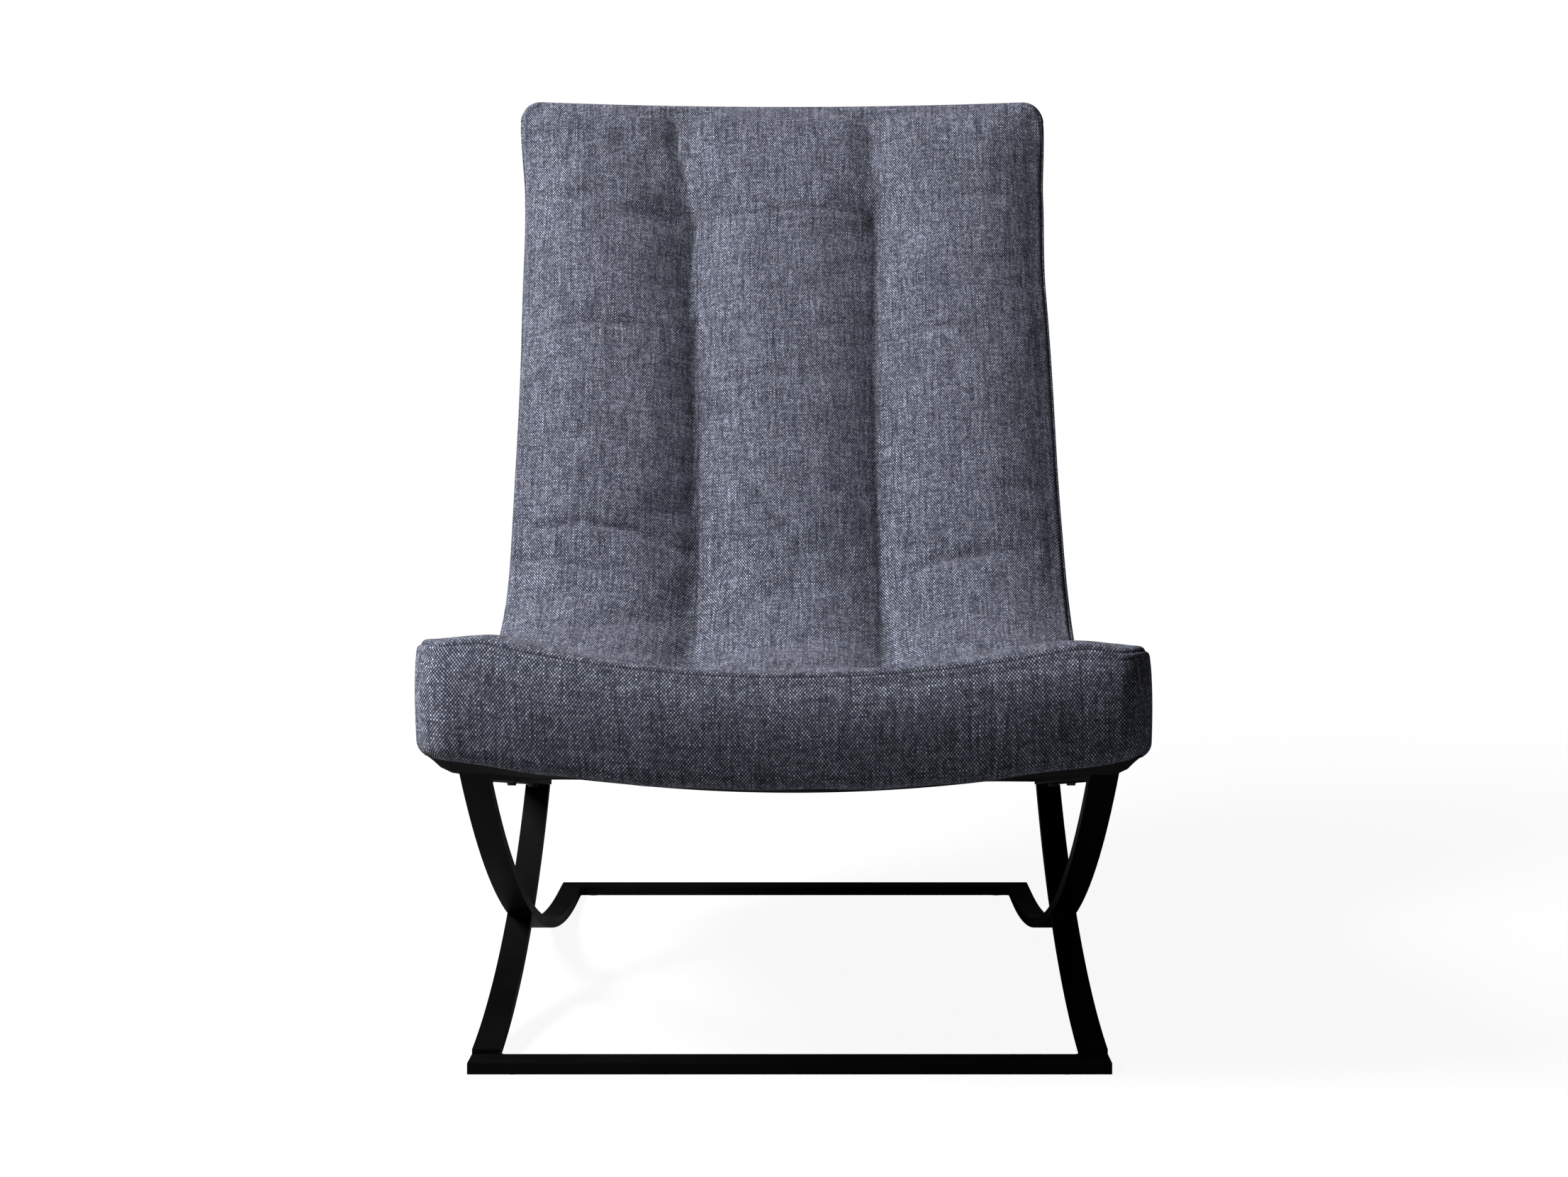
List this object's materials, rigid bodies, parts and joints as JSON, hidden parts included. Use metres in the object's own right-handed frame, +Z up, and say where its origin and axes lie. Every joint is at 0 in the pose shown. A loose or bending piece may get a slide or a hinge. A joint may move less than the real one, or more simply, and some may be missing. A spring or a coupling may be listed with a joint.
{
  "type": "armless high-back lounge chair",
  "caption": "Armless high-back lounge chair: a dished, channelled upholstered seat and back in one shell, on a welded frame of bent flat steel bar with crossed legs.",
  "frame": {"origin": "on the floor under the centre of the chair's bounding box, where the felt discs rest", "axes": "+X to the right as seen from the front, +Y from the seat's front edge towards the back, +Z up"},
  "size_m": [0.6456, 0.8834, 0.9777],
  "materials": {
    "black_steel": "matt black powder coat",
    "felt": "pressed dark felt",
    "screw_steel": "bright zinc plate",
    "plywood": "raw birch plywood",
    "hardwood": "raw sawn hardwood",
    "webbing": "woven elastic webbing",
    "foam": "open-cell foam",
    "upholstery": "blue-grey flecked basket weave, matt",
    "dust_cloth": "black non-woven cloth",
    "twine": "waxed twine"
  },
  "bodies": {
    "root": {"front_floor_rail": "black_steel", "rear_floor_rail": "black_steel", "left_long_bar": "black_steel", "right_long_bar": "black_steel", "left_front_leg": "black_steel", "right_front_leg": "black_steel", "left_rear_post": "black_steel", "right_rear_post": "black_steel", "left_seat_bearer": "black_steel", "right_seat_bearer": "black_steel", "crossing_welds": "black_steel", "rail_welds": "black_steel", "bearer_welds": "black_steel", "floor_glides": "felt", "bearer_screws": "screw_steel", "left_side_rail": "plywood", "right_side_rail": "plywood", "front_cross_rail": "hardwood", "seat_cross_rail": "hardwood", "lumbar_cross_rail": "hardwood", "top_cross_rail": "hardwood", "frame_screws": "screw_steel", "seat_webbing": "webbing", "back_webbing": "webbing", "seat_foam": "foam", "back_foam": "foam", "left_side_foam": "foam", "right_side_foam": "foam", "front_edge_foam": "foam", "quilted_cover": "upholstery", "front_boxing": "upholstery", "left_side_boxing": "upholstery", "right_side_boxing": "upholstery", "top_boxing": "upholstery", "outside_back": "upholstery", "dust_cover": "dust_cloth", "tuft_ties": "twine"}
  },
  "joints": []
}
